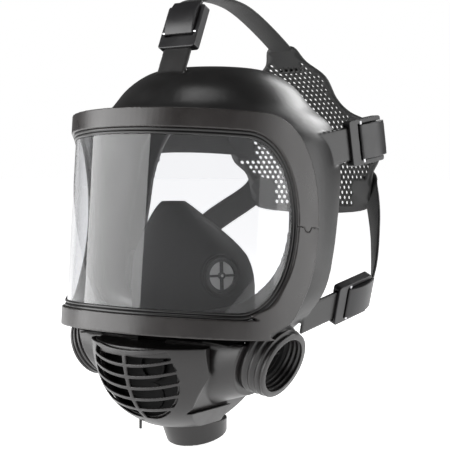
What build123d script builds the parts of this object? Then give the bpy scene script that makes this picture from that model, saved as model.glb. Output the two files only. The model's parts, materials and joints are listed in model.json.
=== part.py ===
"""Full face respirator with a cylindrical visor, two angled thread ports and a five-strap head harness.

Millimetres. The origin is the centre of the face opening, on the axis of the visor's curve.
+X is the wearer's left, -Y is the way the wearer looks, +Z is up.
"""
import os
from math import cos, radians, sin

from build123d import *

os.makedirs("parts", exist_ok=True)

# ---- driving dimensions ------------------------------------------------------------------------
VISOR_RADIUS = 99.0          # outside of the visor frame, on the visor's axis
VISOR_LEAN = 5.0             # degrees that the visor's axis leans back
VISOR_THICKNESS = 2.4
RUBBER_THICKNESS = 4.0

PORT_BORE_RADIUS = 18.85     # inside of the 40 mm round-thread socket
PORT_FACE_RADIUS = 23.2
PORT_CENTRE = (85.0, -27.0, -90.0)
PORT_AXIS = (0.93, -0.01, -0.36)
PORT_THREAD_DEPTH = 12.0
COLLAR_LENGTH = 17.0
COLLAR_RADIUS = 26.2

COVER_AXIS_Y = -27.0         # upright axis of the front cover's round shape
COVER_WALL = 2.4

STRAP_WIDTH = 20.0
STRAP_THICKNESS = 1.8
BUCKLE_LENGTH = 33.0
BUCKLE_WIDTH = 32.0
BUCKLE_THICKNESS = 6.5

SIDES = {"left": 1, "right": -1}

INLET_RADIUS = 15.0          # passages through the facepiece's chin
OUTLET_RADIUS = 17.0
OUTLET_Z = -97.0
DRINK_TUBE_RADIUS = 3.0
DRINK_Y = -16.0

# ---- reference planes --------------------------------------------------------------------------
lean = radians(VISOR_LEAN)
visor_base = Plane(origin=(0, 0, 0), x_dir=(1, 0, 0), z_dir=(0, sin(lean), cos(lean)))
visor_side = Plane(origin=(0, 0, 0), x_dir=(0, cos(lean), -sin(lean)), z_dir=(1, 0, 0))
side_view = Plane.YZ
front_view = Plane(origin=(0, 0, 0), x_dir=(1, 0, 0), z_dir=(0, -1, 0))
port_planes = {}
for side_name, side in SIDES.items():
    port_planes[side_name] = Plane(origin=(side * PORT_CENTRE[0], PORT_CENTRE[1], PORT_CENTRE[2]),
                                   x_dir=(0, 1, 0), z_dir=(side * PORT_AXIS[0], PORT_AXIS[1], PORT_AXIS[2]))


def write(builder, name):
    """Label a finished piece and save it as its own STEP file."""
    builder.part.label = name
    export_step(builder.part, f"parts/{name}.step")


# ---- visor, its frame and the rubber rim that grips it -----------------------------------------
def wrapped_oval(straight, end, half_height):
    """Side view of a flat-topped oval that is wrapped on the visor's curve.

    straight is the arc length from the middle to where the rounding starts, end is the arc
    length of the rounding and half_height is the oval's half height.
    """
    middle = -1.5
    steps = 12
    outline = []
    for step in range(steps + 1):
        turn = radians(90 - 180 * step / steps)
        arc = straight + end * cos(turn)
        outline.append((-VISOR_RADIUS * cos(arc / VISOR_RADIUS), middle + half_height * sin(turn)))
    front = -VISOR_RADIUS - 25
    with BuildSketch(visor_side) as oval:
        with BuildLine():
            rounding = Spline(*outline, tangents=((1, 0), (-1, 0)))
            Polyline(rounding @ 0, (front, middle + half_height), (front, middle - half_height), rounding @ 1)
        make_face()
    return oval.sketch


frame_oval = wrapped_oval(98, 52, 73.3)
skirt_oval = wrapped_oval(98, 48, 69.3)
visor_oval = wrapped_oval(90, 46, 66.0)
window_oval = wrapped_oval(88, 42, 60.5)

rubber_oval = wrapped_oval(98, 60, 73.0)
clearance_oval = wrapped_oval(98, 52.5, 73.8)

frame_inner = VISOR_RADIUS - 3.2
visor_inner = frame_inner - VISOR_THICKNESS
skirt_inner = visor_inner + 0.1


def curved_band(inner, outer):
    """A full ring about the visor's axis, tall enough for the frame."""
    with BuildPart() as band:
        with BuildSketch(visor_base.offset(-90)):
            Circle(outer)
            Circle(inner, mode=Mode.SUBTRACT)
        extrude(amount=180)
    return band.part


with BuildPart() as visor:
    add(curved_band(visor_inner, frame_inner))
    extrude(visor_oval, amount=110, both=True, mode=Mode.INTERSECT)
write(visor, "visor")

KEY_RADIUS = 3.2             # half-round key that locates the two frame halves
SCREW_ANGLE = radians(85.6)
SCREW_RADIUS = 1.25

with BuildPart() as frame_ring:
    add(curved_band(frame_inner, VISOR_RADIUS))
    extrude(frame_oval, amount=110, both=True, mode=Mode.INTERSECT)
    extrude(window_oval, amount=110, both=True, mode=Mode.SUBTRACT)

with BuildPart() as frame_skirt:
    add(curved_band(skirt_inner, frame_inner))
    extrude(frame_oval, amount=110, both=True, mode=Mode.INTERSECT)
    extrude(skirt_oval, amount=110, both=True, mode=Mode.SUBTRACT)

screw_x = (VISOR_RADIUS - 3.6) * sin(SCREW_ANGLE)
screw_y = -(VISOR_RADIUS - 3.6) * cos(SCREW_ANGLE)
screw_spots = [(screw_x, screw_y), (-screw_x, screw_y)]

with BuildPart() as frame_screws:
    with BuildSketch(visor_base.offset(-10)):
        with Locations(*screw_spots):
            Circle(SCREW_RADIUS)
    extrude(amount=18)
    with BuildSketch(visor_base.offset(-12)):
        with Locations(*screw_spots):
            Circle(SCREW_RADIUS + 0.9)
    extrude(amount=2)
write(frame_screws, "frame_screws")


def half_frame(upper):
    """One half of the visor frame, with its side of the half-round keys."""
    with BuildPart() as half:
        add(frame_ring.part)
        add(frame_skirt.part)
        with BuildSketch(visor_side) as keep:
            with Locations((-60, 50 if upper else -50)):
                Rectangle(140, 100)
            with Locations((-VISOR_RADIUS * cos(radians(80)), 0)):
                Circle(KEY_RADIUS, mode=Mode.ADD if upper else Mode.SUBTRACT)
        extrude(keep.sketch, amount=110, both=True, mode=Mode.INTERSECT)
        add(frame_screws.part, mode=Mode.SUBTRACT)
    return half


write(half_frame(True), "visor_frame_upper")
write(half_frame(False), "visor_frame_lower")

# ---- rubber facepiece --------------------------------------------------------------------------
DOME_Y = 8.0                 # upright axis of the facepiece's round shape
dome_axis = Axis((0, DOME_Y, 0), (0, 0, 1))
dome_plane = Plane(origin=(0, DOME_Y, 0), x_dir=(1, 0, 0), z_dir=(0, -1, 0))
# radius and height down the outside of the facepiece, from the crown to the chin
DOME_PROFILE = [(0, 113), (24, 112), (42, 109), (55, 102), (64, 94), (73, 83), (84, 74), (92, 62),
                (95.5, 42), (96, 10), (95, -22), (90.5, -45), (80, -60), (67, -73), (56, -87), (44, -103),
                (27, -114), (0, -119)]


def dome(inset):
    """The facepiece's round outer shape, or its inside when inset is the wall's thickness."""
    scale_up = [(max(r - inset, 0), z - inset if z > 0 else z + inset) for r, z in DOME_PROFILE]
    with BuildPart() as shape:
        with BuildSketch(dome_plane):
            with BuildLine():
                side = Spline(*scale_up, tangents=((1, 0), (-1, 0)))
                Line(side @ 1, side @ 0)
            make_face()
        revolve(axis=dome_axis)
    return shape.part


def in_front_of_rim(distance):
    """Everything further forward than the facepiece's rear edge, less a distance."""
    with BuildPart() as front:
        with BuildSketch(side_view):
            with BuildLine():
                rim = Spline((30 - distance, 130), (36 - distance, 70), (35 - distance, 43),
                             (24 - distance, -9), (14 - distance, -50), (-4 - distance, -130))
                Polyline(rim @ 0, (-140, 130), (-140, -130), rim @ 1)
            make_face()
        extrude(amount=130, both=True)
    return front.part


outer_dome = dome(0)
rim_front = in_front_of_rim(0)

with BuildPart() as cavity:
    add(dome(RUBBER_THICKNESS))
    add(in_front_of_rim(4), mode=Mode.INTERSECT)

with BuildPart() as rim_outer:
    add(curved_band(visor_inner - 0.2, frame_inner))
    extrude(skirt_oval, amount=110, both=True, mode=Mode.INTERSECT)
    extrude(visor_oval, amount=110, both=True, mode=Mode.SUBTRACT)

with BuildPart() as rim_inner:
    add(curved_band(VISOR_RADIUS - 35, visor_inner - 0.2))
    extrude(rubber_oval, amount=110, both=True, mode=Mode.INTERSECT)
    extrude(window_oval, amount=110, both=True, mode=Mode.SUBTRACT)
    add(cavity.part, mode=Mode.SUBTRACT)

with BuildPart() as frame_room:
    add(curved_band(visor_inner - 0.2, 130))
    extrude(clearance_oval, amount=140, both=True, mode=Mode.INTERSECT)


# ---- buckle places -----------------------------------------------------------------------------
def buckle_plane(centre, along, outward, side=1):
    """Plane at a buckle's centre: local X runs from lug to strap, local Z points outward."""
    long_way = Vector(along[0] * side, along[1], along[2]).normalized()
    normal = Vector(outward[0] * side, outward[1], outward[2])
    normal = (normal - long_way * normal.dot(long_way)).normalized()
    return Plane(origin=(centre[0] * side, centre[1], centre[2]), x_dir=long_way, z_dir=normal)


buckle_planes = {"top": buckle_plane((0, -25, 138), (0, 0.41, 0.91), (0, -0.91, 0.41))}
for side_name, side in SIDES.items():
    buckle_planes[f"temple_{side_name}"] = buckle_plane((100, 52, 60), (0.2, 0.96, 0.17), (0.97, -0.2, 0), side)
    buckle_planes[f"lower_{side_name}"] = buckle_plane((88, 55, -52), (0.25, 0.93, 0.25), (0.85, -0.2, -0.42), side)

LUG_WIDTH = 24.0
LUG_THICKNESS = 2.4
LUG_GRIP = 5.5               # how far a lug reaches into its buckle
LUG_REACH = {"top": 22.0, "temple": 30.0, "lower": 32.0}

with BuildPart() as facepiece:
    add(outer_dome)
    add(rim_front, mode=Mode.INTERSECT)
    for place, plane in buckle_planes.items():
        reach = LUG_REACH[place.split("_")[0]]
        with BuildSketch(plane.offset(-LUG_THICKNESS / 2)):
            with Locations((-BUCKLE_LENGTH / 2 + LUG_GRIP - (reach + LUG_GRIP) / 2, 0)):
                Rectangle(reach + LUG_GRIP, LUG_WIDTH)
        extrude(amount=LUG_THICKNESS)
    add(cavity.part, mode=Mode.SUBTRACT)
    with BuildSketch(front_view.offset(-90)):
        with Locations((0, -4)):
            RectangleRounded(152, 192, 68)
    extrude(amount=100, mode=Mode.SUBTRACT)
    extrude(window_oval, amount=110, both=True, mode=Mode.SUBTRACT)
    add(frame_room.part, mode=Mode.SUBTRACT)
    add(rim_inner.part)
    add(rim_outer.part)
    # room for the port collars
    for plane in port_planes.values():
        with BuildSketch(plane.offset(-COLLAR_LENGTH - 0.3)):
            Circle(COLLAR_RADIUS + 0.5)
        extrude(amount=30, mode=Mode.SUBTRACT)
    # passages through the chin: two inlets and one outlet
    for plane in port_planes.values():
        with BuildSketch(plane.offset(-95)):
            Circle(INLET_RADIUS)
        extrude(amount=60, mode=Mode.SUBTRACT)
    with BuildSketch(front_view.offset(20)):
        with Locations((0, OUTLET_Z)):
            Circle(OUTLET_RADIUS)
    extrude(amount=60, mode=Mode.SUBTRACT)
    with BuildSketch(Plane.XY.offset(-140)):
        with Locations((0, DRINK_Y)):
            Circle(DRINK_TUBE_RADIUS + 0.3)
    extrude(amount=60, mode=Mode.SUBTRACT)
    add(frame_screws.part, mode=Mode.SUBTRACT)
    # the two halves match
    split(bisect_by=Plane.YZ, keep=Keep.BOTTOM)
    mirror(about=Plane.YZ)
write(facepiece, "facepiece")

# ---- front cover and valve housing -------------------------------------------------------------
# radius and height down the outside of the front cover, about its upright axis
COVER_PROFILE = [(63.6, -77), (63.2, -84), (60.3, -98), (55.3, -111), (48.5, -121), (38, -130), (27, -136)]
# half width and height of the cover, seen from the front
COVER_LIMIT = [(50, -60), (50, -96), (33, -124), (24, -137)]
CHAMBER_GAP = 0.4            # between the cover and the housing behind it
HOUSING_WALL = 3.0


def bowl(inset, top, bottom):
    """The cover's bowl shape, inset from its outside, between two heights."""
    plane = Plane(origin=(0, COVER_AXIS_Y, 0), x_dir=(1, 0, 0), z_dir=(0, -1, 0))
    points = [(r - inset, z) for r, z in COVER_PROFILE]
    limit = [(x - inset, z) for x, z in COVER_LIMIT]
    with BuildPart() as shape:
        with BuildSketch(plane):
            with BuildLine():
                wall = Spline(*points)
                Polyline(wall @ 0, (0, points[0][1]), (0, points[-1][1]), wall @ 1)
            make_face()
        revolve(axis=Axis((0, COVER_AXIS_Y, 0), (0, 0, 1)))
        with BuildSketch(front_view):
            with BuildLine():
                Polyline(*limit, *[(-x, z) for x, z in reversed(limit)], close=True)
            make_face()
        extrude(amount=120, both=True, mode=Mode.INTERSECT)
        with BuildSketch(Plane.XY.offset(bottom)):
            Rectangle(300, 300)
        extrude(amount=top - bottom, mode=Mode.INTERSECT)
    return shape.part


SLOT_COUNT = 6
SLOT_PITCH = 7.9
SLOT_HEIGHT = 5.6
SLOT_ARC = 125.0             # radius of the bars' droop
SLOTS_MIDDLE_Z = -105.4
GRILLE_CENTRE_Z = -96.0      # centre of the oval that ends the slots
GRILLE_HALF_WIDTH = 35.5
GRILLE_HALF_HEIGHT = 33.0
LIP_Z = -79.0                # lowest point of the cover's scooped upper lip
LIP_ARC = 150.0
WINDOW_TOP_Z = -84.0         # top of the housing's window behind the grille
RIB_WIDTH = 3.0

with BuildPart() as front_cover:
    add(bowl(0, -76.5, -136.5))
    add(bowl(COVER_WALL, -60, -140), mode=Mode.SUBTRACT)
    with BuildSketch(side_view):
        with Locations((-100, -100)):
            Rectangle(2 * (100 - 62), 100)
        with Locations((-60, -130)):
            Rectangle(90, 14)
    extrude(amount=80, both=True, mode=Mode.INTERSECT)
    # six drooping slots inside an oval, with an upright rib left between their halves
    with BuildSketch(front_view.offset(50)) as slots:
        for row in range(SLOT_COUNT):
            height = SLOTS_MIDDLE_Z + (row - (SLOT_COUNT - 1) / 2) * SLOT_PITCH
            with Locations((0, height + SLOT_ARC)):
                Circle(SLOT_ARC + SLOT_HEIGHT / 2)
                Circle(SLOT_ARC - SLOT_HEIGHT / 2, mode=Mode.SUBTRACT)
        with Locations((0, GRILLE_CENTRE_Z)):
            Ellipse(GRILLE_HALF_WIDTH, GRILLE_HALF_HEIGHT, mode=Mode.INTERSECT)
        with Locations((0, GRILLE_CENTRE_Z)):
            Rectangle(RIB_WIDTH, 80, mode=Mode.SUBTRACT)
    extrude(amount=60, mode=Mode.SUBTRACT)
    # the upper lip dips over the middle of the grille
    with BuildSketch(front_view.offset(50)):
        with Locations((0, LIP_Z + LIP_ARC)):
            Circle(LIP_ARC)
    extrude(amount=60, mode=Mode.SUBTRACT)
write(front_cover, "front_cover")

BARREL_BORE_RADIUS = 17.5
SLEEVE_END_RADIUS = 30.5
SLEEVE_ROOT_RADIUS = 35.5

with BuildPart() as port_sleeves:
    for side_name, side in SIDES.items():
        plane = port_planes[side_name]
        with BuildSketch(plane.offset(-COLLAR_LENGTH)):
            Circle(SLEEVE_END_RADIUS)
        with BuildSketch(Plane(origin=(side * 12, COVER_AXIS_Y - 2, -91), x_dir=(0, 1, 0), z_dir=(side, 0, 0))):
            Circle(SLEEVE_ROOT_RADIUS)
        loft()

with BuildPart() as valve_housing:
    add(bowl(COVER_WALL + CHAMBER_GAP, -74, -136))
    add(port_sleeves.part)
    add(bowl(COVER_WALL + CHAMBER_GAP + HOUSING_WALL, -80, -128), mode=Mode.SUBTRACT)
    for plane in port_planes.values():
        with BuildSketch(plane.offset(-COLLAR_LENGTH - 40)):
            Circle(BARREL_BORE_RADIUS)
        extrude(amount=60, mode=Mode.SUBTRACT)
        with BuildSketch(plane.offset(-COLLAR_LENGTH)):
            Circle(45)
        extrude(amount=60, mode=Mode.SUBTRACT)
    # window in the front wall, behind the grille
    with BuildSketch(front_view.offset(50)):
        with Locations((0, GRILLE_CENTRE_Z)):
            Ellipse(GRILLE_HALF_WIDTH - 3, GRILLE_HALF_HEIGHT - 2)
        with Locations((0, WINDOW_TOP_Z - 50)):
            Rectangle(100, 100, mode=Mode.INTERSECT)
    extrude(amount=60, mode=Mode.SUBTRACT)
    with BuildSketch(Plane.XY.offset(-140)):
        with Locations((0, DRINK_Y)):
            Circle(DRINK_TUBE_RADIUS + 0.3)
    extrude(amount=60, mode=Mode.SUBTRACT)
    extrude(clearance_oval, amount=110, both=True, mode=Mode.SUBTRACT)
    with BuildSketch(front_view.offset(30)):
        with Locations((0, -66)):
            Rectangle(200, 17)
    extrude(amount=60, mode=Mode.SUBTRACT)
    add(outer_dome, mode=Mode.SUBTRACT)
    add(rim_inner.part, mode=Mode.SUBTRACT)
write(valve_housing, "valve_housing")

# ---- valve plate, speech diaphragm and exhalation valve ----------------------------------------
PLATE_Y = 55.0               # distance of the plate's rear face in front of the origin
PLATE_THICKNESS = 3.0
DIAPHRAGM_Z = -93.0
DIAPHRAGM_RADIUS = 11.0
EXHALE_Z = -114.5
EXHALE_RADIUS = 9.4
DISC_THICKNESS = 0.8
DISC_TRAVEL = 1.5
SPOKE_WIDTH = 1.6

plate_front = front_view.offset(PLATE_Y + PLATE_THICKNESS)
with BuildPart() as valve_plate:
    add(bowl(COVER_WALL + CHAMBER_GAP + HOUSING_WALL, -80.2, -127.8))
    with BuildSketch(front_view.offset(PLATE_Y)):
        Rectangle(300, 400)
    extrude(amount=PLATE_THICKNESS, mode=Mode.INTERSECT)
    with BuildSketch(plate_front):
        with Locations((0, DIAPHRAGM_Z)):
            Circle(DIAPHRAGM_RADIUS - 1.6)
        with Locations((0, EXHALE_Z)):
            Circle(EXHALE_RADIUS)
    extrude(amount=-PLATE_THICKNESS, mode=Mode.SUBTRACT)
    add(outer_dome, mode=Mode.SUBTRACT)
write(valve_plate, "valve_plate")

with BuildPart() as speech_diaphragm:
    with BuildSketch(plate_front):
        with Locations((0, DIAPHRAGM_Z)):
            Circle(DIAPHRAGM_RADIUS - 0.4)
    extrude(amount=0.4)
write(speech_diaphragm, "speech_diaphragm")

with BuildPart() as diaphragm_ring:
    with BuildSketch(plate_front.offset(0.4)):
        with Locations((0, DIAPHRAGM_Z)):
            Circle(DIAPHRAGM_RADIUS)
            Circle(DIAPHRAGM_RADIUS - 1.8, mode=Mode.SUBTRACT)
    extrude(amount=2.4)
write(diaphragm_ring, "diaphragm_ring")


def spoked_seat(plane, radius, opening, spokes, thickness, stem_radius):
    """A flat valve seat with spokes and a bored hub, its front face on the plane."""
    with BuildPart() as seat:
        with BuildSketch(plane):
            Circle(radius)
            Circle(opening, mode=Mode.SUBTRACT)
            with PolarLocations(opening / 2, spokes):
                Rectangle(opening + 0.6, SPOKE_WIDTH)
            Circle(2.4)
            Circle(stem_radius + 0.05, mode=Mode.SUBTRACT)
        extrude(amount=-thickness)
    return seat


def valve_disc(plane, radius, stem_length, outward):
    """A thin valve disc lying on a seat, with the stem that holds it in the hub."""
    with BuildPart() as disc:
        with BuildSketch(plane):
            Circle(radius)
        extrude(amount=DISC_THICKNESS * outward)
        with BuildSketch(plane):
            Circle(STEM_RADIUS)
        extrude(amount=-stem_length * outward)
    return disc


STEM_RADIUS = 1.0
exhale_plane = Plane(origin=(0, -PLATE_Y - PLATE_THICKNESS, EXHALE_Z), x_dir=(1, 0, 0), z_dir=(0, -1, 0))
write(spoked_seat(exhale_plane, EXHALE_RADIUS, EXHALE_RADIUS - 2, 6, 2.4, STEM_RADIUS), "exhale_seat")
write(valve_disc(exhale_plane.offset(0.05), EXHALE_RADIUS - 0.6, 2.0, 1), "exhale_disc")

# ---- port collars, gaskets and inhalation valves -----------------------------------------------
# radius and distance behind the face, down the stepped outside of the collar
COLLAR_STEPS = [(23.2, 0), (23.2, -2.2), (21.6, -2.6), (21.6, -3.4), (24.2, -4.0), (24.2, -5.6), (22.6, -6.2),
                (22.6, -8.0), (25.2, -8.8), (25.2, -10.4), (23.6, -11.0), (23.6, -12.6), (COLLAR_RADIUS, -13.4),
                (COLLAR_RADIUS, -COLLAR_LENGTH)]
SEAT_RADIUS = 19.2
SEAT_FRONT = PORT_THREAD_DEPTH + 2.6

for side_name, plane in port_planes.items():
    with BuildPart() as collar:
        with BuildSketch(Plane(origin=plane.origin, x_dir=plane.x_dir, z_dir=-plane.y_dir)):
            with BuildLine():
                Polyline(*COLLAR_STEPS, (SEAT_RADIUS, -COLLAR_LENGTH), (SEAT_RADIUS, -PORT_THREAD_DEPTH),
                         (PORT_BORE_RADIUS, -PORT_THREAD_DEPTH), (PORT_BORE_RADIUS, 0), close=True)
            make_face()
        revolve(axis=Axis(plane.origin, plane.z_dir))
    write(collar, f"port_collar_{side_name}")

    with BuildPart() as gasket:
        with BuildSketch(plane.offset(-PORT_THREAD_DEPTH)):
            Circle(SEAT_RADIUS)
            Circle(15.2, mode=Mode.SUBTRACT)
        extrude(amount=-2.6)
    write(gasket, f"port_gasket_{side_name}")

    seat = spoked_seat(plane.offset(-SEAT_FRONT), SEAT_RADIUS, 14.6, 3, COLLAR_LENGTH - SEAT_FRONT, STEM_RADIUS)
    write(seat, f"inhale_seat_{side_name}")
    write(valve_disc(plane.offset(-COLLAR_LENGTH - 0.05), 16.0, 2.0, -1), f"inhale_disc_{side_name}")

# ---- drinking fitting under the chin -----------------------------------------------------------
BOSS_TILT = radians(14)
BOSS_END = (0.0, -10.5, -149.0)
BOSS_TOP_Z = -136.5
boss_plane = Plane(origin=BOSS_END, x_dir=(1, 0, 0), z_dir=(0, sin(BOSS_TILT), -cos(BOSS_TILT)))

with BuildPart() as drink_socket:
    with BuildSketch(boss_plane):
        Circle(21.7)
    with BuildSketch(boss_plane.offset(-24)):
        Circle(25.5)
    loft()
    with BuildSketch(boss_plane):
        Circle(18.5)
    extrude(amount=-8, mode=Mode.SUBTRACT)
    with BuildSketch(Plane.XY.offset(BOSS_TOP_Z)):
        Rectangle(100, 100)
    extrude(amount=-40, mode=Mode.INTERSECT)
    with BuildSketch(boss_plane):
        Circle(3.4)
    extrude(amount=-30, mode=Mode.SUBTRACT)
write(drink_socket, "drink_socket")

with BuildPart() as drink_coupling:
    with BuildSketch(boss_plane.offset(-8)):
        Circle(7.5)
    extrude(amount=2)
    with BuildSketch(boss_plane.offset(-6)):
        Circle(4.5)
    extrude(amount=9)
    with BuildSketch(boss_plane.offset(-8)):
        Circle(1.6)
    extrude(amount=20, mode=Mode.SUBTRACT)
write(drink_coupling, "drink_coupling")

with BuildPart() as drink_tube:
    with BuildSketch(Plane.XY.offset(-136)):
        with Locations((0, DRINK_Y)):
            Circle(DRINK_TUBE_RADIUS)
            Circle(DRINK_TUBE_RADIUS - 1.2, mode=Mode.SUBTRACT)
    extrude(amount=56)
write(drink_tube, "drink_tube")

with BuildPart() as cover_peg:
    with BuildSketch(Plane.XY.offset(-140)):
        with Locations((-16, -54)):
            Circle(1.0)
    extrude(amount=12)
    add(bowl(0, -60, -140), mode=Mode.SUBTRACT)
write(cover_peg, "cover_peg")

# ---- nose cup and its check valves -------------------------------------------------------------
# centre height, centre Y and radius up the outside of the nose cup
CUP_SECTIONS = [(-72, -14, 44), (-33, -14, 44), (-17, -18, 38.5), (-4, -25, 29), (9, -33, 17.5), (18, -37, 8)]
CUP_WALL = 2.5


def cup_shape(inset):
    """The nose cup's rounded body, smaller by an inset all round."""
    with BuildPart() as shape:
        for height, centre_y, radius in CUP_SECTIONS:
            level = height - inset if height > -60 else height - 5 * (inset > 0)
            with BuildSketch(Plane.XY.offset(level)):
                with Locations((0, centre_y)):
                    Circle(radius - inset)
        loft()
    return shape.part


CHECK_RADIUS = 12.0
check_planes = {}
for side_name, side in SIDES.items():
    outward = Vector(side * 0.89, -0.45, 0.05).normalized()
    check_planes[side_name] = Plane(origin=(side * 40.5, -35.0, -32.0), x_dir=(0, 0, 1), z_dir=outward)

with BuildPart() as nose_cup:
    add(cup_shape(0))
    for plane in check_planes.values():
        with BuildSketch(plane.offset(-6)):
            Circle(CHECK_RADIUS + 2.4)
        extrude(amount=6.5)
    add(cup_shape(CUP_WALL), mode=Mode.SUBTRACT)
    for plane in check_planes.values():
        with BuildSketch(plane.offset(-10)):
            Circle(CHECK_RADIUS)
        extrude(amount=16, mode=Mode.SUBTRACT)
    # open towards the face
    with BuildSketch(side_view):
        with BuildLine():
            Polyline((-90, 40), (-38, 40), (-22, 10), (0, -20), (4, -62), (-90, -62), close=True)
        make_face()
    extrude(amount=80, both=True, mode=Mode.INTERSECT)
write(nose_cup, "nose_cup")

for side_name, plane in check_planes.items():
    write(spoked_seat(plane, CHECK_RADIUS, 9.6, 4, 2.2, STEM_RADIUS), f"check_seat_{side_name}")
    write(valve_disc(plane.offset(-2.25), 10.6, 1.9, -1), f"check_disc_{side_name}")

# ---- buckles -----------------------------------------------------------------------------------
LEVER_PIVOT = (-4.8, 2.8)
LEVER_WIDTH = 24.4
PIN_RADIUS = 1.0

for place, plane in buckle_planes.items():
    end = BUCKLE_LENGTH / 2
    with BuildPart() as body:
        with BuildSketch(plane):
            RectangleRounded(BUCKLE_LENGTH, BUCKLE_WIDTH, 2)
        extrude(amount=BUCKLE_THICKNESS / 2, both=True)
        with BuildSketch(plane.offset(-0.6)):
            with Locations((-8 + 20, 0)):
                Rectangle(40, LEVER_WIDTH + 0.8)
        extrude(amount=10, mode=Mode.SUBTRACT)
        with BuildSketch(plane.offset(-1.6)):
            with Locations((-8 + 20, 0)):
                Rectangle(40, STRAP_WIDTH + 1)
            with Locations((-end, 0)):
                Rectangle(13, LUG_WIDTH + 0.6)
        extrude(amount=2.9, mode=Mode.SUBTRACT)
        pivot_plane = Plane(origin=plane.from_local_coords((LEVER_PIVOT[0], 0, LEVER_PIVOT[1])),
                            x_dir=plane.x_dir, z_dir=-plane.y_dir)
        with BuildSketch(pivot_plane):
            Circle(PIN_RADIUS)
        extrude(amount=BUCKLE_WIDTH / 2 - 1.5, both=True, mode=Mode.SUBTRACT)
    write(body, f"buckle_{place}")

    with BuildPart() as pin:
        with BuildSketch(pivot_plane):
            Circle(PIN_RADIUS)
        extrude(amount=BUCKLE_WIDTH / 2 - 1.5, both=True)
    write(pin, f"buckle_pin_{place}")

    with BuildPart() as lever:
        with BuildSketch(Plane(origin=plane.origin, x_dir=plane.x_dir, z_dir=-plane.y_dir)):
            with BuildLine():
                crown = ThreePointArc((-6.2, 4.4), (7, 6.4), (19.5, 3.4))
                Polyline(crown @ 1, (19.5, 1.4), (-4.8, 1.2))
                ThreePointArc((-4.8, 1.2), (-6.6, 2.4), crown @ 0)
            make_face()
        extrude(amount=LEVER_WIDTH / 2, both=True)
        with BuildSketch(pivot_plane):
            Circle(PIN_RADIUS + 0.06)
        extrude(amount=BUCKLE_WIDTH, both=True, mode=Mode.SUBTRACT)
    write(lever, f"buckle_lever_{place}")
    print(place, "lever pivot", pivot_plane.origin, "axis", pivot_plane.z_dir)

# ---- head harness ------------------------------------------------------------------------------
PAD_THICKNESS = 2.4
# distance behind the origin and height down the back of the head
PAD_PROFILE = [(99, 136), (115, 115), (130, 95), (141, 75), (149, 50), (153, 25), (154, 3)]
# half width and height of the pad, seen from behind
PAD_OUTLINE = [(0, 136), (12, 135), (19, 124), (33, 112), (36, 96), (46, 85), (68, 74), (70, 50), (60, 36),
               (56, 14), (44, 7), (0, 4)]

with BuildPart() as head_pad:
    with BuildSketch(side_view):
        with BuildLine():
            outside = Spline(*PAD_PROFILE)
            inside = Spline(*[(r - PAD_THICKNESS, z - 0.6) for r, z in PAD_PROFILE])
            Line(outside @ 0, inside @ 0)
            Line(outside @ 1, inside @ 1)
        make_face()
    revolve(axis=Axis.Z, revolution_arc=40)
    mirror(about=Plane.YZ)
    with BuildSketch(front_view.offset(-170)):
        with BuildLine():
            half = Polyline(*PAD_OUTLINE)
            mirror(half, about=Plane.YZ)
        make_face()
    extrude(amount=120, mode=Mode.INTERSECT)
write(head_pad, "head_pad")

# where each strap meets the pad, and the middle of its free bow
STRAP_ENDS = {"top": ((0, 38, 160), (0, 103.5, 131.5)), "temple": ((90, 101, 66), (68, 128.5, 63)),
              "lower": ((88, 112, -14), (57.5, 142.3, 20))}
TAIL = BUCKLE_LENGTH / 2 + 5.0

for place, plane in buckle_planes.items():
    side = -1 if place.endswith("right") else 1
    middle, far = STRAP_ENDS[place.split("_")[0]]
    start = plane.from_local_coords((TAIL, 0, -0.5))
    middle = Vector(middle[0] * side, middle[1], middle[2])
    far = Vector(far[0] * side, far[1], far[2])
    with BuildPart() as strap:
        with BuildLine() as route:
            bow = ThreePointArc(start, middle, far)
        bow_normal = (middle - start).cross(far - start).normalized()
        heading = bow % 0
        with BuildSketch(Plane(origin=start, x_dir=bow_normal, z_dir=heading)):
            Rectangle(STRAP_WIDTH, STRAP_THICKNESS)
        sweep()
        add(head_pad.part, mode=Mode.SUBTRACT)
        with BuildSketch(plane.offset(-0.5 - STRAP_THICKNESS / 2)):
            with Locations(((TAIL - 7) / 2, 0)):
                Rectangle(TAIL + 7, STRAP_WIDTH)
        extrude(amount=STRAP_THICKNESS)
    write(strap, f"strap_{place}")
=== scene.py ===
# %% [markdown]
# # A full face respirator, finished in Blender
#
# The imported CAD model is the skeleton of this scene. It says where every piece is and how the
# levers and valves move. What it lacks is the look of the real materials: moulded rubber with
# rounded lips, satin plastic, a clear hard visor, woven straps and a head pad full of small holes.
# Each cell below takes one of those on. Lengths are in metres, and the wearer looks along -Y.

import json
from math import asin, cos, pi, radians, sin, sqrt

import bmesh
import bpy
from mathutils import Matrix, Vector
from mathutils.geometry import delaunay_2d_cdt


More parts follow.
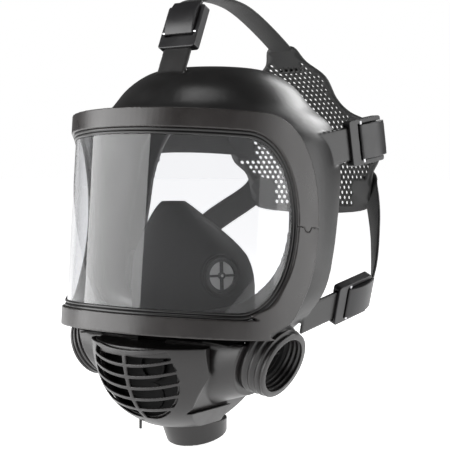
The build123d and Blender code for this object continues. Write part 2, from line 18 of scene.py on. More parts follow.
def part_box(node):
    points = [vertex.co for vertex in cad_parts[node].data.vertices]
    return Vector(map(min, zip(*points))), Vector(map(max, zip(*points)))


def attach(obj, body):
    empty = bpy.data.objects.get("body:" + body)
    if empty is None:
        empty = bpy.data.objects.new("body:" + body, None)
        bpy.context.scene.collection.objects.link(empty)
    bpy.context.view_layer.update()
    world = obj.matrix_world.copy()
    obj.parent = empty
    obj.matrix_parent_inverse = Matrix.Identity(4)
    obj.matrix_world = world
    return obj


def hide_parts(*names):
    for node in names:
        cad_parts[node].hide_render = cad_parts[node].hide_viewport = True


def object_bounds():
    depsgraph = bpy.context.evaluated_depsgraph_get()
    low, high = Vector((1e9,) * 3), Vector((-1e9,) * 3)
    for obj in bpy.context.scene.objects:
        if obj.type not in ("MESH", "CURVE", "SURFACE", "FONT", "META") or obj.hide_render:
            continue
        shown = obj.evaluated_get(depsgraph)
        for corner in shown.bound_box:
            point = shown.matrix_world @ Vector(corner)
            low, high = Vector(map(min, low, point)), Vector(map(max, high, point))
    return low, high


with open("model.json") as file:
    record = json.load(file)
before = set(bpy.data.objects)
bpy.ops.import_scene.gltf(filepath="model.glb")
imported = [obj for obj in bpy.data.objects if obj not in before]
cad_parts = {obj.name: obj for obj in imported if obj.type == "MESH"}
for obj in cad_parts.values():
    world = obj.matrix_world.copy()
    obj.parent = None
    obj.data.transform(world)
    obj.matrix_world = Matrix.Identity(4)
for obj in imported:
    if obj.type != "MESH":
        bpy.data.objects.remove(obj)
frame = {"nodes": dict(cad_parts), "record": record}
cad_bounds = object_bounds()
nodes = frame["nodes"]
record = frame["record"]
scene = bpy.context.scene
MM = 0.001
print("CAD nodes:", len(nodes))

# %% [markdown]
# ## Helpers for making pieces
#
# A few short helpers carry most of the work. The first turns lists of points into a mesh, the
# second hangs a finished piece on the body that carries it, and the third makes a moulded copy of
# a CAD piece. A moulded part never has a knife-sharp corner, because the mould can't hold one.
# Remeshing the shape with small even voxels and then relaxing it a few times rounds every edge by
# about the same radius, and that even radius is what catches the light like a real moulding.

# %% Mesh helpers
body_of_node = {node: body for body, held in record["behaviour"]["bodies"].items() for node in held}
slot_of_node = {part["node"]: part["material_slot"] for part in record["subparts"]}


def make_object(name, points, faces):
    """A smooth-shaded mesh object from its points and faces."""
    mesh = bpy.data.meshes.new(name)
    mesh.from_pydata([tuple(p) for p in points], [], faces)
    mesh.validate()
    obj = bpy.data.objects.new(name, mesh)
    scene.collection.objects.link(obj)
    mesh.shade_smooth()
    return obj


def dress(obj, node, replaces=True):
    """Hang a piece on the body of a CAD node, and give it that node's finish."""
    obj.data.materials.clear()
    obj.data.materials.append(finishes[slot_of_node[node]])
    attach(obj, body_of_node[node])
    if replaces:
        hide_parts(node)


def moulded_copy(node, name, voxel, rounds):
    """A CAD node's shape with every edge rounded, as a mould leaves it."""
    source = bpy.data.objects.new(name + "_source", nodes[node].data.copy())
    scene.collection.objects.link(source)
    welded = bmesh.new()
    welded.from_mesh(source.data)
    bmesh.ops.remove_doubles(welded, verts=welded.verts, dist=1e-6)
    welded.to_mesh(source.data)
    welded.free()
    even = source.modifiers.new("even", "REMESH")
    even.mode = "VOXEL"
    even.voxel_size = voxel
    relax = source.modifiers.new("relax", "SMOOTH")
    relax.factor = 0.5
    relax.iterations = rounds
    depsgraph = bpy.context.evaluated_depsgraph_get()
    mesh = bpy.data.meshes.new_from_object(source.evaluated_get(depsgraph))
    mesh.name = name
    bpy.data.objects.remove(source)
    obj = bpy.data.objects.new(name, mesh)
    scene.collection.objects.link(obj)
    mesh.shade_smooth()
    dress(obj, node)
    print(name, "faces:", len(mesh.polygons))


def turn_outwards(obj, crease=None):
    """Make every face look outwards, and keep edges sharper than the crease angle sharp."""
    turned = bmesh.new()
    turned.from_mesh(obj.data)
    bmesh.ops.recalc_face_normals(turned, faces=turned.faces)
    if crease is not None:
        for edge in turned.edges:
            if edge.calc_face_angle(0) > crease:
                edge.smooth = False
    turned.to_mesh(obj.data)
    turned.free()


def grid_faces(rows, columns, wrap_rows=False, wrap_columns=False):
    """Quads over a grid of points that was listed row by row."""
    faces = []
    for i in range(rows if wrap_rows else rows - 1):
        for j in range(columns if wrap_columns else columns - 1):
            below = (i + 1) % rows
            beside = (j + 1) % columns
            faces.append((i * columns + j, i * columns + beside,
                          below * columns + beside, below * columns + j))
    return faces


# %% [markdown]
# ## Moulded finishes
#
# Rubber and plastic both start as one dark colour, but neither looks flat. The surface has a fine
# grain that spreads the highlights, handling leaves patches that shine a little more, and raised
# edges wear lighter. One function builds all of them: a fine noise drives the bump, a coarse noise
# drives roughness and colour, and the mesh's own pointiness finds the edges that rub.

# %% Moulded finishes


def new_material(name):
    """An empty material with its shader, and shortcuts to add and link nodes."""
    material = bpy.data.materials.new(name)
    material.use_nodes = True
    tree = material.node_tree
    shader = tree.nodes["Principled BSDF"]
    return material, tree, shader


def noise(tree, scale, detail, where):
    """A noise texture on a coordinate output, at so many features to the metre."""
    texture = tree.nodes.new("ShaderNodeTexNoise")
    texture.inputs["Scale"].default_value = scale
    texture.inputs["Detail"].default_value = detail
    tree.links.new(where, texture.inputs["Vector"])
    return texture.outputs["Fac"]


def remap(tree, value, low, high, to_low, to_high):
    """A value stretched from one range to another, and held inside it."""
    node = tree.nodes.new("ShaderNodeMapRange")
    for name, number in (("From Min", low), ("From Max", high), ("To Min", to_low), ("To Max", to_high)):
        node.inputs[name].default_value = number
    tree.links.new(value, node.inputs["Value"])
    return node.outputs["Result"]


def mix_colour(tree, amount, first, second):
    """A colour between two others, where either may be a node's output."""
    node = tree.nodes.new("ShaderNodeMix")
    node.data_type = "RGBA"
    tree.links.new(amount, node.inputs["Factor"])
    for socket, colour in ((node.inputs[6], first), (node.inputs[7], second)):
        if isinstance(colour, tuple):
            socket.default_value = (*colour, 1)
        else:
            tree.links.new(colour, socket)
    return node.outputs[2]


PATCH_SCALE = 38.0
SPECK_SCALE = 900.0
BUMP_STRENGTH = 0.6
RUBBED_EDGES = (0.53, 0.62)


def moulded(name, colour, roughness, spread=0.08, grain=1400.0, depth=0.00004, wear=0.5, specular=0.5):
    """A moulded rubber or plastic with grain, handling patches and lighter edges."""
    material, tree, shader = new_material(name)
    place = tree.nodes.new("ShaderNodeTexCoord").outputs["Object"]
    patches = noise(tree, PATCH_SCALE, 4.0, place)
    specks = noise(tree, SPECK_SCALE, 2.0, place)
    paler = tuple(min(c * 1.9 + 0.006, 1) for c in colour)
    dusted = mix_colour(tree, remap(tree, specks, 0.62, 0.8, 0.0, 0.6), colour, paler)
    handled = mix_colour(tree, remap(tree, patches, 0.35, 0.7, 0.0, 0.35), dusted, paler)
    edges = tree.nodes.new("ShaderNodeNewGeometry").outputs["Pointiness"]
    worn = mix_colour(tree, remap(tree, edges, *RUBBED_EDGES, 0.0, wear), handled, paler)
    tree.links.new(worn, shader.inputs["Base Color"])
    shine = remap(tree, patches, 0.3, 0.7, roughness - spread, roughness + spread)
    tree.links.new(shine, shader.inputs["Roughness"])
    bump = tree.nodes.new("ShaderNodeBump")
    bump.inputs["Distance"].default_value = depth
    bump.inputs["Strength"].default_value = BUMP_STRENGTH
    tree.links.new(noise(tree, grain, 3.0, place), bump.inputs["Height"])
    tree.links.new(bump.outputs["Normal"], shader.inputs["Normal"])
    shader.inputs["Specular IOR Level"].default_value = specular
    return material


finishes = {
    "face_rubber": moulded("face_rubber", (0.005, 0.0047, 0.0047), 0.34, spread=0.05, depth=0.00002),
    "cup_rubber": moulded("cup_rubber", (0.004, 0.0038, 0.0038), 0.6, depth=0.00003, specular=0.22),
    "seal_rubber": moulded("seal_rubber", (0.005, 0.005, 0.005), 0.5),
    "frame_plastic": moulded("frame_plastic", (0.014, 0.012, 0.0115), 0.33, grain=2200.0, depth=0.00003),
    "housing_plastic": moulded("housing_plastic", (0.010, 0.009, 0.009), 0.34, grain=2200.0, depth=0.00003),
    "buckle_plastic": moulded("buckle_plastic", (0.006, 0.0057, 0.0065), 0.36, grain=1800.0),
    "valve_plastic": moulded("valve_plastic", (0.008, 0.008, 0.008), 0.4, grain=1800.0),
    "valve_silicone": moulded("valve_silicone", (0.36, 0.36, 0.35), 0.35, wear=0.2),
    "diaphragm_film": moulded("diaphragm_film", (0.02, 0.02, 0.02), 0.45, wear=0.1),
    "steel": moulded("steel", (0.42, 0.42, 0.43), 0.3, wear=0.3),
}
finishes["steel"].node_tree.nodes["Principled BSDF"].inputs["Metallic"].default_value = 1.0
print("moulded finishes:", len(finishes))

# %% [markdown]
# ## The clear visor material
#
# The visor is hard-coated polycarbonate. Real polycarbonate bends light, so the shader transmits it
# with the plastic's refractive index and a very low roughness. A faint cool tint and a few long
# wipe marks in the roughness keep it from looking like empty air.

# %% Visor finish
POLYCARBONATE_IOR = 1.49
visor_finish, tree, shader = new_material("clear_visor")
place = tree.nodes.new("ShaderNodeTexCoord").outputs["Object"]
stretch = tree.nodes.new("ShaderNodeMapping")
stretch.inputs["Scale"].default_value = (1.0, 1.0, 0.12)
tree.links.new(place, stretch.inputs["Vector"])
wipes = noise(tree, 160.0, 3.0, stretch.outputs["Vector"])
tree.links.new(remap(tree, wipes, 0.5, 0.75, 0.015, 0.05), shader.inputs["Roughness"])
haze = noise(tree, 12.0, 2.0, place)
tint = mix_colour(tree, remap(tree, haze, 0.3, 0.7, 0.0, 1.0), (0.955, 0.958, 0.972), (0.93, 0.935, 0.955))
tree.links.new(tint, shader.inputs["Base Color"])
shader.inputs["Transmission Weight"].default_value = 1.0
shader.inputs["IOR"].default_value = POLYCARBONATE_IOR
finishes["clear_visor"] = visor_finish

# %% [markdown]
# ## Woven webbing and the pad's rubbered fabric
#
# Elastic webbing is woven across its length, so it shows fine ribs from edge to edge and rows of
# warp threads along it. The straps get their own map, with U across the strap and V along it in
# metres, so two sine waves drawn on that map always follow the strap round its bends.

# %% Fabric finishes
RIB_PITCH = 1.1 * MM
WEAVE_DEPTH = 0.00018
WARP_ROWS = 16
fabric_black = (0.005, 0.005, 0.0048)
fabric_worn = (0.014, 0.0135, 0.013)


def wave(tree, value, cycles):
    """A sine wave of so many cycles to the unit, from 0 to 1."""
    turns = tree.nodes.new("ShaderNodeMath")
    turns.operation = "MULTIPLY"
    turns.inputs[1].default_value = cycles * 2 * pi
    tree.links.new(value, turns.inputs[0])
    curve = tree.nodes.new("ShaderNodeMath")
    curve.operation = "SINE"
    tree.links.new(turns.outputs[0], curve.inputs[0])
    return remap(tree, curve.outputs[0], -1.0, 1.0, 0.0, 1.0)


webbing_finish, tree, shader = new_material("webbing")
strap_map = tree.nodes.new("ShaderNodeUVMap")
axes = tree.nodes.new("ShaderNodeSeparateXYZ")
tree.links.new(strap_map.outputs["UV"], axes.inputs[0])
weave = tree.nodes.new("ShaderNodeMath")
weave.operation = "MULTIPLY"
tree.links.new(wave(tree, axes.outputs["Y"], 1 / RIB_PITCH), weave.inputs[0])
tree.links.new(wave(tree, axes.outputs["X"], WARP_ROWS), weave.inputs[1])
place = tree.nodes.new("ShaderNodeTexCoord").outputs["Object"]
fluff = noise(tree, 2600.0, 2.0, place)
threads = mix_colour(tree, weave.outputs[0], fabric_black, fabric_worn)
dusty = mix_colour(tree, remap(tree, fluff, 0.6, 0.85, 0.0, 0.5), threads, (0.03, 0.029, 0.0275))
tree.links.new(dusty, shader.inputs["Base Color"])
tree.links.new(remap(tree, fluff, 0.3, 0.7, 0.55, 0.72), shader.inputs["Roughness"])
bump = tree.nodes.new("ShaderNodeBump")
bump.inputs["Distance"].default_value = WEAVE_DEPTH
bump.inputs["Strength"].default_value = 0.7
tree.links.new(weave.outputs[0], bump.inputs["Height"])
tree.links.new(bump.outputs["Normal"], shader.inputs["Normal"])
shader.inputs["Sheen Weight"].default_value = 0.04
shader.inputs["Sheen Roughness"].default_value = 0.4
finishes["webbing"] = webbing_finish
finishes["pad_fabric"] = moulded("pad_fabric", fabric_black, 0.55, grain=2600.0, depth=0.0001, wear=0.6)
print("finishes:", len(finishes))

# %% [markdown]
# ## Dress the pieces that stay as CAD
#
# Pins, valve seats, discs and gaskets are already the right shape, because they really are turned
# or moulded to plain forms. They only need their finish. Pieces that get a Blender version later
# are hidden then, so it does no harm to dress every node here. The parts behind the grille get
# painted shade in place of their own finish: a near-black, more matt plastic that stands in for the
# shade inside the housing, where little light comes back through the grille.

# %% Finish for the CAD nodes
BEHIND_GRILLE = ("valve_plate", "diaphragm_ring", "speech_diaphragm", "exhale_seat", "exhale_disc")
# Painted shade: near-black, matt plastic for the parts behind the grille, standing in for the shade inside
# the housing.
painted_shade_plastic = moulded("painted_shade_plastic", (0.003, 0.003, 0.003), 0.7, wear=0.2, specular=0.12)
for node, obj in nodes.items():
    obj.data.materials.clear()
    obj.data.materials.append(painted_shade_plastic if node in BEHIND_GRILLE else finishes[slot_of_node[node]])
print("dressed:", len(nodes))

# %% [markdown]
# ## The rubber facepiece and the nose cup
#
# Both are soft mouldings, thick enough to hold their shape. The facepiece needs the largest
# rounding, since its lips and lugs are a thumb's width of rubber, and the nose cup's edges are
# finer. The voxels must stay well under the wall's thickness, or the wall tears.

# %% Soft mouldings
moulded_copy("facepiece", "facepiece_rubber", 0.8 * MM, 9)
moulded_copy("nose_cup", "nose_cup_rubber", 0.6 * MM, 8)

# %% [markdown]
# ## Covers over a slit in the CAD model
#
# The CAD model is open on each side, between the housing's shoulder and the facepiece's rim, and
# light comes through from inside the mask. The real mask is sealed there. These two small curved
# sheets only hide that slit from the camera below, and part of it still shows from straight ahead.
# They have no CAD node, and the right repair is in the CAD. They take the nose cup's dark finish.

# %% Covers over the slit
APRON_X = (44 * MM, 65 * MM)
APRON_Y = (-62 * MM, -29 * MM)
APRON_TOP = -73.0 * MM
APRON_FALL = 1.2 * MM
APRON_THICKNESS = 1.0 * MM
APRON_STEPS = 12
for side in (1, -1):
    points = []
    for i in range(APRON_STEPS + 1):
        for j in range(APRON_STEPS + 1):
            u, v = i / APRON_STEPS, j / APRON_STEPS
            x = APRON_X[0] + (APRON_X[1] - APRON_X[0]) * u
            y = APRON_Y[0] + (APRON_Y[1] - APRON_Y[0]) * v
            z = APRON_TOP - APRON_FALL * u * u - APRON_FALL * (1 - v) ** 2
            points.append((side * x, y, z))
    apron = make_object("rubber_apron_" + ("left" if side > 0 else "right"), points,
                        grid_faces(APRON_STEPS + 1, APRON_STEPS + 1))
    thicken = apron.modifiers.new("thickness", "SOLIDIFY")
    thicken.thickness = APRON_THICKNESS
    dress(apron, "nose_cup", replaces=False)

# %% [markdown]
# ## The hard mouldings
#
# The frame's halves, the grille cover, the valve housing, the drinking socket and the buckles are
# satin plastic with small radii. Finer voxels and fewer rounds keep them crisper than the rubber.
# Where the frame's halves meet, each half's rounded edge leaves a fine groove, as on the real one.

# %% Hard mouldings
for node in ("visor_frame_upper", "visor_frame_lower"):
    moulded_copy(node, node + "_plastic", 0.5 * MM, 5)
moulded_copy("front_cover", "front_cover_plastic", 0.4 * MM, 5)
moulded_copy("valve_housing", "valve_housing_plastic", 0.6 * MM, 6)
moulded_copy("drink_socket", "drink_socket_plastic", 0.5 * MM, 5)
buckle_places = [node[len("buckle_lever_"):] for node in nodes if node.startswith("buckle_lever_")]
for place_name in buckle_places:
    moulded_copy("buckle_" + place_name, "buckle_" + place_name + "_plastic", 0.35 * MM, 4)
    moulded_copy("buckle_lever_" + place_name, "lever_" + place_name + "_plastic", 0.35 * MM, 4)

# %% [markdown]
# ## The visor
#
# The visor is bent from one flat sheet, so it is part of a cylinder. A grid of points wrapped on
# that cylinder gives reflections without a ripple, which a remeshed surface could not. The grid's
# rows follow the flat-topped oval outline, whose edge hides in the frame's groove.

# %% Visor
low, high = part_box("visor_frame_upper")
FRAME_RADIUS = (high.x - low.x) / 2
FRAME_THICKNESS = 3.2 * MM
VISOR_THICKNESS = 2.4 * MM
VISOR_LEAN = radians(5)
VISOR_STRAIGHT = 90 * MM
VISOR_ROUNDING = 46 * MM
VISOR_HALF_HEIGHT = 66 * MM
VISOR_MIDDLE = -1.5 * MM
VISOR_CREASE = radians(40)
lean_up = Vector((0, sin(VISOR_LEAN), cos(VISOR_LEAN)))
lean_back = Vector((0, cos(VISOR_LEAN), -sin(VISOR_LEAN)))


def on_visor(arc, height, radius):
    """A point at an arc length round the visor and a height along its axis."""
    turn = arc / FRAME_RADIUS
    return Vector((radius * sin(turn), 0, 0)) - lean_back * (radius * cos(turn)) + lean_up * height


def visor_half_height(arc):
    """How tall the visor's outline is at an arc length from its middle."""
    past = max(abs(arc) - VISOR_STRAIGHT, 0) / VISOR_ROUNDING
    return VISOR_HALF_HEIGHT * sqrt(max(1 - past * past, 0.0004))


points = []
columns, rows = 181, 25
reach = VISOR_STRAIGHT + VISOR_ROUNDING
SEATING_GAP = 0.05 * MM
outer_face = FRAME_RADIUS - FRAME_THICKNESS - SEATING_GAP
inner_face = FRAME_RADIUS - FRAME_THICKNESS - VISOR_THICKNESS
for radius in (outer_face, inner_face):
    for i in range(columns):
        arc = reach * sin(pi / 2 * (2 * i / (columns - 1) - 1))
        for j in range(rows):
            share = 2 * j / (rows - 1) - 1
            points.append(on_visor(arc, VISOR_MIDDLE + share * visor_half_height(arc), radius))
count = columns * rows
outer = grid_faces(columns, rows)
inner = [tuple(count + k for k in reversed(face)) for face in outer]
edge = [i * rows for i in range(columns)]
edge += [(columns - 1) * rows + j for j in range(1, rows)]
edge += [i * rows + rows - 1 for i in range(columns - 2, -1, -1)]
edge += [j for j in range(rows - 2, 0, -1)]
rim = []
for a, b in zip(edge, edge[1:] + edge[:1]):
    rim.append((a, b, count + b, count + a))
visor = make_object("visor_sheet", points, outer + inner + rim)
turn_outwards(visor, VISOR_CREASE)
dress(visor, "visor")
print("visor width:", round(visor.dimensions.x, 4))

# %% [markdown]
# ## The lips that seal the visor
#
# The facepiece's rubber wraps round the edge of the visor and shows inside the frame as two thin
# black lips. Each lip is a round cord of rubber that follows the frame's window, a little further
# in than the frame's own edge.

# %% Visor lips
WINDOW_ROUNDING = 42 * MM
WINDOW_STRAIGHT = 88 * MM
WINDOW_HALF_HEIGHT = 60.5 * MM
STRAIGHT_SHARE = 0.4
LIP_SIDES = 10
LIP_STEPS = 360


def window_point(turn, inset, radius):
    """A point round the window's flat-topped oval, a little inside its edge."""
    across = cos(turn)
    if abs(across) < STRAIGHT_SHARE:
        height = (WINDOW_HALF_HEIGHT - inset) * (1 if sin(turn) > 0 else -1)
        arc = WINDOW_STRAIGHT * across / STRAIGHT_SHARE
    else:
        bend = pi / 2 * (abs(across) - STRAIGHT_SHARE) / (1 - STRAIGHT_SHARE)
        arc = (WINDOW_STRAIGHT + (WINDOW_ROUNDING - inset) * sin(bend)) * (1 if across > 0 else -1)
        height = (WINDOW_HALF_HEIGHT - inset) * cos(bend) * (1 if sin(turn) > 0 else -1)
    return on_visor(arc, VISOR_MIDDLE + height, radius)


LIPS = (("visor_lip_outer", 0.9 * MM, 1.5 * MM), ("visor_lip_inner", 3.3 * MM, 1.1 * MM))
for name, inset, thickness in LIPS:
    path = [window_point(2 * pi * k / LIP_STEPS, inset, FRAME_RADIUS - FRAME_THICKNESS)
            for k in range(LIP_STEPS)]
    points = []
    for k, point in enumerate(path):
        ahead = (path[(k + 1) % LIP_STEPS] - path[k - 1]).normalized()
        outward = (point - lean_up * point.dot(lean_up)).normalized()
        across = ahead.cross(outward).normalized()
        for j in range(LIP_SIDES):
            turn = 2 * pi * j / LIP_SIDES
            points.append(point + (across * cos(turn) + outward * sin(turn)) * thickness)
    lip = make_object(name, points, grid_faces(LIP_STEPS, LIP_SIDES, True, True))
    dress(lip, "facepiece", replaces=False)
print("visor lips:", len(LIPS))

# %% [markdown]
# ## Threaded ports
#
# Each port carries the wide round thread that filters screw into. A thread is a ridge that climbs
# one pitch for each turn, so the bore's radius is a wave of the height minus the turn. The
# outside of the collar has three flat ridges, revolved from a short outline.

# %% Port collars
THREAD_PITCH = 25.4 / 7 * MM
THREAD_DEPTH = 0.8 * MM
THREAD_RUN_IN = 1.2 * MM
THREAD_RUN_OUT = 0.9 * MM
BORE_RADIUS = record["mounts"][0]["dims"]["r_mm"] * MM
THREAD_LENGTH = record["mounts"][0]["dims"]["length_mm"] * MM
COLLAR_OUTSIDE = [(23.0, -0.1), (23.2, -0.4), (23.2, -2.0), (22.9, -2.3), (21.6, -2.6), (21.6, -3.4),
                  (23.9, -3.9), (24.2, -4.2), (24.2, -5.4), (23.9, -5.8), (22.6, -6.2), (22.6, -8.0),
                  (24.9, -8.6), (25.2, -8.9), (25.2, -10.2), (24.9, -10.6), (23.6, -11.0), (23.6, -12.6),
                  (25.9, -13.2), (26.2, -13.6), (26.2, -17.0), (19.2, -17.0), (19.2, -12.4)]
TURN_STEPS = 144
THREAD_STEPS = 60
for mount in record["mounts"][:2]:
    axis = Vector(mount["axis"]).normalized()
    face_centre = Vector(mount["pos_m"]) + axis * (THREAD_LENGTH / 2)
    across = Vector((0, 0, 1)).cross(axis).normalized()
    upward = axis.cross(across)
    points = []
    for step in range(TURN_STEPS):
        turn = 2 * pi * step / TURN_STEPS
        spoke = across * cos(turn) + upward * sin(turn)
        for radius, height in COLLAR_OUTSIDE:
            points.append(face_centre + spoke * (radius * MM) + axis * (height * MM))
        for k in range(THREAD_STEPS + 1):
            height = -THREAD_LENGTH * (1 - k / THREAD_STEPS)
            swing = 0.5 - 0.5 * cos(2 * pi * (height / THREAD_PITCH - turn / (2 * pi)))
            fade = min(1.0, (height + THREAD_LENGTH) / THREAD_RUN_IN, 0.25 - height / THREAD_RUN_OUT)
            radius = BORE_RADIUS + THREAD_DEPTH * swing ** 0.8 * max(fade, 0.0)
            points.append(face_centre + spoke * radius + axis * height)
        points.append(face_centre + spoke * (BORE_RADIUS + 0.5 * MM) + axis * (0.02 * MM))
    ring = len(points) // TURN_STEPS
    node = "port_collar_left" if axis.x > 0 else "port_collar_right"
    collar = make_object(node + "_threaded", points, grid_faces(TURN_STEPS, ring, True, True))
    turn_outwards(collar)
    dress(collar, node)
print("thread pitch:", round(THREAD_PITCH / MM, 2), "mm")

# %% [markdown]
# ## The head pad
#
# The pad is a thin plate of rubbered fabric, punched with small round holes in a triangular
# pattern. It is cut flat and only curves when it is worn, so it is built the same way: the outline
# and the holes are drawn flat, filled with triangles, and then wrapped round the back of the head.
# Where a strap is sewn on, the plate is left whole.

# %% Head pad
PAD_PROFILE = [(99, 136), (115, 115), (130, 95), (141, 75), (149, 50), (153, 25), (154, 3)]
PAD_OUTLINE = [(0, 136), (12, 135), (19, 124), (33, 112), (36, 96), (46, 85), (68, 74), (70, 50), (60, 36),
               (56, 14), (44, 7), (0, 4)]
PAD_THICKNESS = 1.8 * MM
HOLE_PITCH = 4.8 * MM
HOLE_RADIUS = 1.55 * MM
HOLE_SIDES = 10
PAD_BORDER = 4.6 * MM


def smooth_profile(points, steps):
    """Points along a smooth curve through the given ones."""
    ends = [points[0]] + list(points) + [points[-1]]
    curve = []
    for p0, p1, p2, p3 in zip(ends, ends[1:], ends[2:], ends[3:]):
        for step in range(steps):
            t = step / steps
            curve.append(tuple(0.5 * (2 * b + (c - a) * t + (2 * a - 5 * b + 4 * c - d) * t * t
                                      + (3 * b - a - 3 * c + d) * t ** 3)
                               for a, b, c, d in zip(p0, p1, p2, p3)))
    curve.append(tuple(points[-1]))
    return curve


profile = [Vector((r * MM, z * MM)) for r, z in smooth_profile(PAD_PROFILE, 8)]
lengths = [0.0]
for a, b in zip(profile, profile[1:]):
    lengths.append(lengths[-1] + (b - a).length)


def along_profile(length):
    """Radius and height at a length down the pad's profile."""
    for k in range(len(profile) - 1):
        if length <= lengths[k + 1] or k == len(profile) - 2:
            share = (length - lengths[k]) / (lengths[k + 1] - lengths[k])
            return profile[k].lerp(profile[k + 1], share)


def length_at(height):
    """The length down the profile at which the pad reaches a height."""
    for k in range(len(profile) - 1):
        if height >= profile[k + 1].y:
            share = (profile[k].y - height) / (profile[k].y - profile[k + 1].y)
            return lengths[k] + max(share, 0) * (lengths[k + 1] - lengths[k])
    return lengths[-1]


def wrap(flat, lift=0.0):
    """A flat point of the pad, wrapped round the back of the head."""
    spot = along_profile(flat[1])
    turn = flat[0] / spot.x
    return Vector(((spot.x + lift) * sin(turn), (spot.x + lift) * cos(turn), spot.y))


def flatten(x, z):
    """The flat point under a place on the pad seen from behind."""
    length = length_at(z)
    radius = along_profile(length).x
    return Vector((asin(x / radius) * radius, length))


half = [flatten(x * MM, z * MM) for x, z in PAD_OUTLINE]
rounded = [Vector(p) for p in smooth_profile([tuple(p) for p in half], 5)]
outline = rounded + [Vector((-p.x, p.y)) for p in reversed(rounded[1:-1])]


def edge_distance(spot):
    """How far a flat point is from the outline."""
    nearest = 1.0
    for a, b in zip(outline, outline[1:] + outline[:1]):
        run = b - a
        share = min(max((spot - a).dot(run) / run.length_squared, 0), 1)
        nearest = min(nearest, (spot - a - run * share).length)
    return nearest


def inside(spot):
    """Whether a flat point is inside the outline."""
    crossings = 0
    for a, b in zip(outline, outline[1:] + outline[:1]):
        straddles = (a.y > spot.y) != (b.y > spot.y)
        if straddles and spot.x < a.x + (b.x - a.x) * (spot.y - a.y) / (b.y - a.y):
            crossings += 1
    return crossings % 2 == 1


sewn = [(flatten(0, 134 * MM), 0.013, 0.016), (flatten(66 * MM, 62 * MM), 0.016, 0.013),
        (flatten(-66 * MM, 62 * MM), 0.016, 0.013), (flatten(52 * MM, 22 * MM), 0.015, 0.011),
        (flatten(-52 * MM, 22 * MM), 0.015, 0.011)]


def is_sewn(spot):
    """Whether a strap is sewn on at a flat point."""
    return any(abs(spot.x - c.x) < w and abs(spot.y - c.y) < h for c, w, h in sewn)


flat_points = [tuple(p) for p in outline]
loops = [list(range(len(outline)))]
row_height = HOLE_PITCH * sqrt(3) / 2
width = max(p.x for p in outline)
for row in range(int(lengths[-1] / row_height) + 1):
    for column in range(-int(width / HOLE_PITCH) - 1, int(width / HOLE_PITCH) + 2):
        spot = Vector(((column + 0.5 * (row % 2)) * HOLE_PITCH, row * row_height))
        if not inside(spot) or edge_distance(spot) < HOLE_RADIUS:
            continue
        if edge_distance(spot) < PAD_BORDER or is_sewn(spot):
            flat_points.append(tuple(spot))
            continue
        start = len(flat_points)
        for side in range(HOLE_SIDES):
            turn = 2 * pi * side / HOLE_SIDES
            flat_points.append((spot.x + HOLE_RADIUS * cos(turn), spot.y + HOLE_RADIUS * sin(turn)))
        loops.append(list(range(start, start + HOLE_SIDES)))
filled = delaunay_2d_cdt([Vector(p) for p in flat_points], [], loops, 2, 1e-7)
for face in filled[2]:
    a, b, c = (filled[0][k] for k in face[:3])
pad = make_object("head_pad_plate", [wrap(p, -PAD_THICKNESS / 2) for p in filled[0]],
                  [tuple(f) for f in filled[2]])
turn_outwards(pad)
thicken = pad.modifiers.new("thickness", "SOLIDIFY")
thicken.thickness = PAD_THICKNESS
thicken.offset = 0
dress(pad, "head_pad")

# %% [markdown]
# ## The straps
#
# Each strap is a flat band of webbing that leaves its buckle straight, bows round the head and
# ends on the pad. At the buckle its width lies in the buckle's slot, and at the pad it lies flat on
# the pad, so the band twists slowly from the one direction to the other along the way.

# %% Straps
STRAP_WIDTH = 20 * MM
STRAP_THICKNESS = 1.8 * MM
STRAP_STATIONS = 36
SLOT_REACH = 21.5 * MM
STRAP_BOWS = {"top": ((0, 38, 160), (0, 103.5, 131.5)), "temple": ((87, 99.5, 64.5), (68, 128.5, 63)),
              "lower": ((81, 105, -9), (57.5, 142.3, 20))}
SEWN_ENDS = {"top": (0, 115, 117), "temple": (54, 137, 60.5), "lower": (50, 145, 35)}
BUCKLE_WAYS = {"top": ((0, -25, 138), (0, 0.41, 0.91), (0, -0.91, 0.41)),
               "temple": ((100, 52, 60), (0.2, 0.96, 0.17), (0.97, -0.2, 0)),
               "lower": ((88, 55, -52), (0.25, 0.93, 0.25), (0.85, -0.2, -0.42))}


def ribbon(name, path, widths, width, thickness):
    """A flat band along a path, whose width direction is given at each point."""
    section = []
    half_round = 5
    for end in (1, -1):
        for k in range(half_round + 1):
            turn = pi / 2 - pi * k / half_round
            section.append((end * (width / 2 - thickness / 2 + thickness / 2 * cos(turn)),
                            end * thickness / 2 * sin(turn)))
    points, covers = [], []
    travelled = 0.0
    for i, point in enumerate(path):
        ahead = path[min(i + 1, len(path) - 1)] - path[max(i - 1, 0)]
        across = (widths[i] - ahead.normalized() * widths[i].dot(ahead.normalized())).normalized()
        outward = across.cross(ahead).normalized()
        travelled += (point - path[max(i - 1, 0)]).length
        for x, y in section:
            points.append(point + across * x + outward * y)
            covers.append((x / width + 0.5, travelled))
    ring = len(section)
    faces = grid_faces(len(path), ring, False, True)
    faces.append(tuple(reversed(range(ring))))
    faces.append(tuple(range(len(points) - ring, len(points))))
    obj = make_object(name, points, faces)
    cover = obj.data.uv_layers.new(name="strap")
    for loop in obj.data.loops:
        cover.data[loop.index].uv = covers[loop.vertex_index]
    return obj


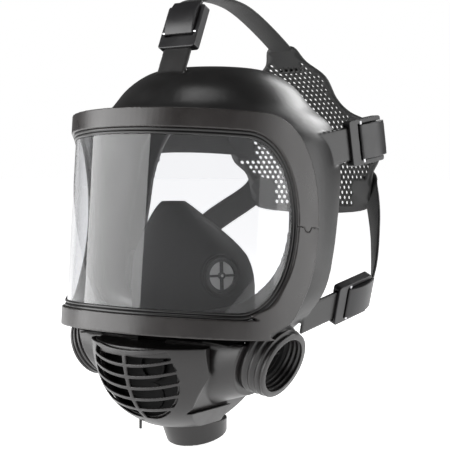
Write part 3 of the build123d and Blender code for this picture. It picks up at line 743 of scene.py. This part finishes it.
for place_name in buckle_places:
    kind = place_name.split("_")[0]
    side = -1 if place_name.endswith("right") else 1
    flip = Vector((side, 1, 1))
    centre, way, outward = (Vector(v) * flip for v in BUCKLE_WAYS[kind])
    way.normalize()
    outward = (outward - way * outward.dot(way)).normalized()
    slot_line = outward * (-0.5 * MM)
    start = centre * MM + way * SLOT_REACH + slot_line
    tail = centre * MM - way * (6 * MM) + slot_line
    middle, end = (Vector(v) * flip * MM for v in STRAP_BOWS[kind])
    in_slot = outward.cross(way).normalized()
    on_pad = (end - middle).cross(Vector((end.x, end.y, 0))).normalized()
    if in_slot.dot(on_pad) < 0:
        on_pad = -on_pad
    sewn_end = Vector(SEWN_ENDS[kind]) * flip * MM
    route = [tuple(p) for p in (tail, start, middle, end, sewn_end)]
    path = [Vector(p) for p in smooth_profile(route, STRAP_STATIONS)]
    twists = []
    for k in range(len(path)):
        ease = min(max(k / STRAP_STATIONS - 1, 0) / 2, 1.0)
        ease = ease * ease * (3 - 2 * ease)
        twists.append(in_slot.lerp(on_pad, ease).normalized())
    strap = ribbon("strap_" + place_name + "_webbing", path, twists, STRAP_WIDTH, STRAP_THICKNESS)
    dress(strap, "strap_" + place_name)
print("straps:", len(buckle_places))

# %% [markdown]
# ## The studio
#
# The object stands on a pale floor in a white surround. A tall softbox in front of the wearer's
# right makes the broad reflection in the visor, and a narrower one on the left lays a veil over its
# near edge. Two more stand behind the wearer's left: the lower lights the side of the frame, and
# the higher draws the bright patch over the temple. The camera can't see the lights themselves.

# %% Floor, lights and surround
FLOOR_GAP = 0.5 * MM
FLOOR_Z = cad_bounds[0][2] - FLOOR_GAP
FLOOR_GLOW = 0.94
FLOOR_REACH = 40
corners = [(x * FLOOR_REACH, y * FLOOR_REACH, FLOOR_Z) for x, y in ((-1, -1), (1, -1), (1, 1), (-1, 1))]
floor = make_object("floor", corners, [(0, 1, 2, 3)])
floor_finish, tree, shader = new_material("pale_floor")
place = tree.nodes.new("ShaderNodeTexCoord").outputs["Object"]
tree.links.new(mix_colour(tree, noise(tree, 3.0, 2.0, place), (0.9, 0.9, 0.9), (0.93, 0.93, 0.93)),
               shader.inputs["Base Color"])
shader.inputs["Roughness"].default_value = 0.3
shader.inputs["Emission Color"].default_value = (1, 1, 1, 1)
shader.inputs["Emission Strength"].default_value = FLOOR_GLOW
floor.data.materials.append(floor_finish)


def softbox(name, azimuth, elevation, distance, size, radiance):
    """A rectangular light round the object, aimed at it."""
    light = bpy.data.lights.new(name, "AREA")
    light.shape = "RECTANGLE"
    light.size, light.size_y = size
    light.energy = radiance * pi * size[0] * size[1]
    obj = bpy.data.objects.new(name, light)
    scene.collection.objects.link(obj)
    turn, rise = radians(azimuth), radians(elevation)
    towards = Vector((sin(turn) * cos(rise), -cos(turn) * cos(rise), sin(rise)))
    obj.location = towards * distance
    obj.rotation_euler = towards.to_track_quat("Z", "Y").to_euler()
    obj.visible_camera = False
    obj.visible_transmission = False


softbox("right_hand_softbox", -44, 8, 1.1, (1.35, 1.1), 5.0)
softbox("left_hand_softbox", 92, 10, 1.2, (0.55, 1.1), 1.8)
softbox("rear_left_softbox", 118, 6, 1.2, (1.0, 0.8), 2.4)
softbox("rear_high_softbox", 168, 34, 1.3, (0.9, 0.45), 6.0)
softbox("overhead_softbox", 10, 70, 1.3, (0.7, 0.5), 3.0)

world = bpy.data.worlds.new("surround")
scene.world = world
world.use_nodes = True
background = world.node_tree.nodes["Background"]
rays = world.node_tree.nodes.new("ShaderNodeLightPath")
seen = world.node_tree.nodes.new("ShaderNodeMath")
seen.operation = "MAXIMUM"
world.node_tree.links.new(rays.outputs["Is Camera Ray"], seen.inputs[0])
world.node_tree.links.new(rays.outputs["Is Transmission Ray"], seen.inputs[1])
SURROUND_LIGHT = 0.10
strength = world.node_tree.nodes.new("ShaderNodeMapRange")
strength.inputs["To Min"].default_value = SURROUND_LIGHT
strength.inputs["To Max"].default_value = 1.0
world.node_tree.links.new(seen.outputs[0], strength.inputs["Value"])
world.node_tree.links.new(strength.outputs["Result"], background.inputs["Strength"])
background.inputs["Color"].default_value = (1, 1, 1, 1)
scene.view_settings.view_transform = "Standard"

# %% [markdown]
# ## The camera
#
# A long lens, barely above the level of the visor's middle and turned toward the wearer's left,
# shows the visor, the grille and one port at once.

# %% Camera
CAMERA_AZIMUTH = radians(36)
CAMERA_ELEVATION = radians(2.5)
CAMERA_DISTANCE = 0.816
FOCAL_LENGTH = 90.67
camera_target = Vector((0.01133, 0.00823, 0))
camera_back = Vector((sin(CAMERA_AZIMUTH) * cos(CAMERA_ELEVATION),
                      -cos(CAMERA_AZIMUTH) * cos(CAMERA_ELEVATION), sin(CAMERA_ELEVATION)))
lens = bpy.data.cameras.new("camera")
lens.lens = FOCAL_LENGTH
camera = bpy.data.objects.new("camera", lens)
scene.collection.objects.link(camera)
camera.location = camera_target + camera_back * CAMERA_DISTANCE
camera.rotation_euler = camera_back.to_track_quat("Z", "Y").to_euler()
scene.camera = camera

# %% [markdown]
# ## Print the CAD size
#
# The looks must not change the object's size, so the CAD model's box is printed here.

# %% CAD size
print("CAD size:", [round(b - a, 4) for a, b in zip(*cad_bounds)])
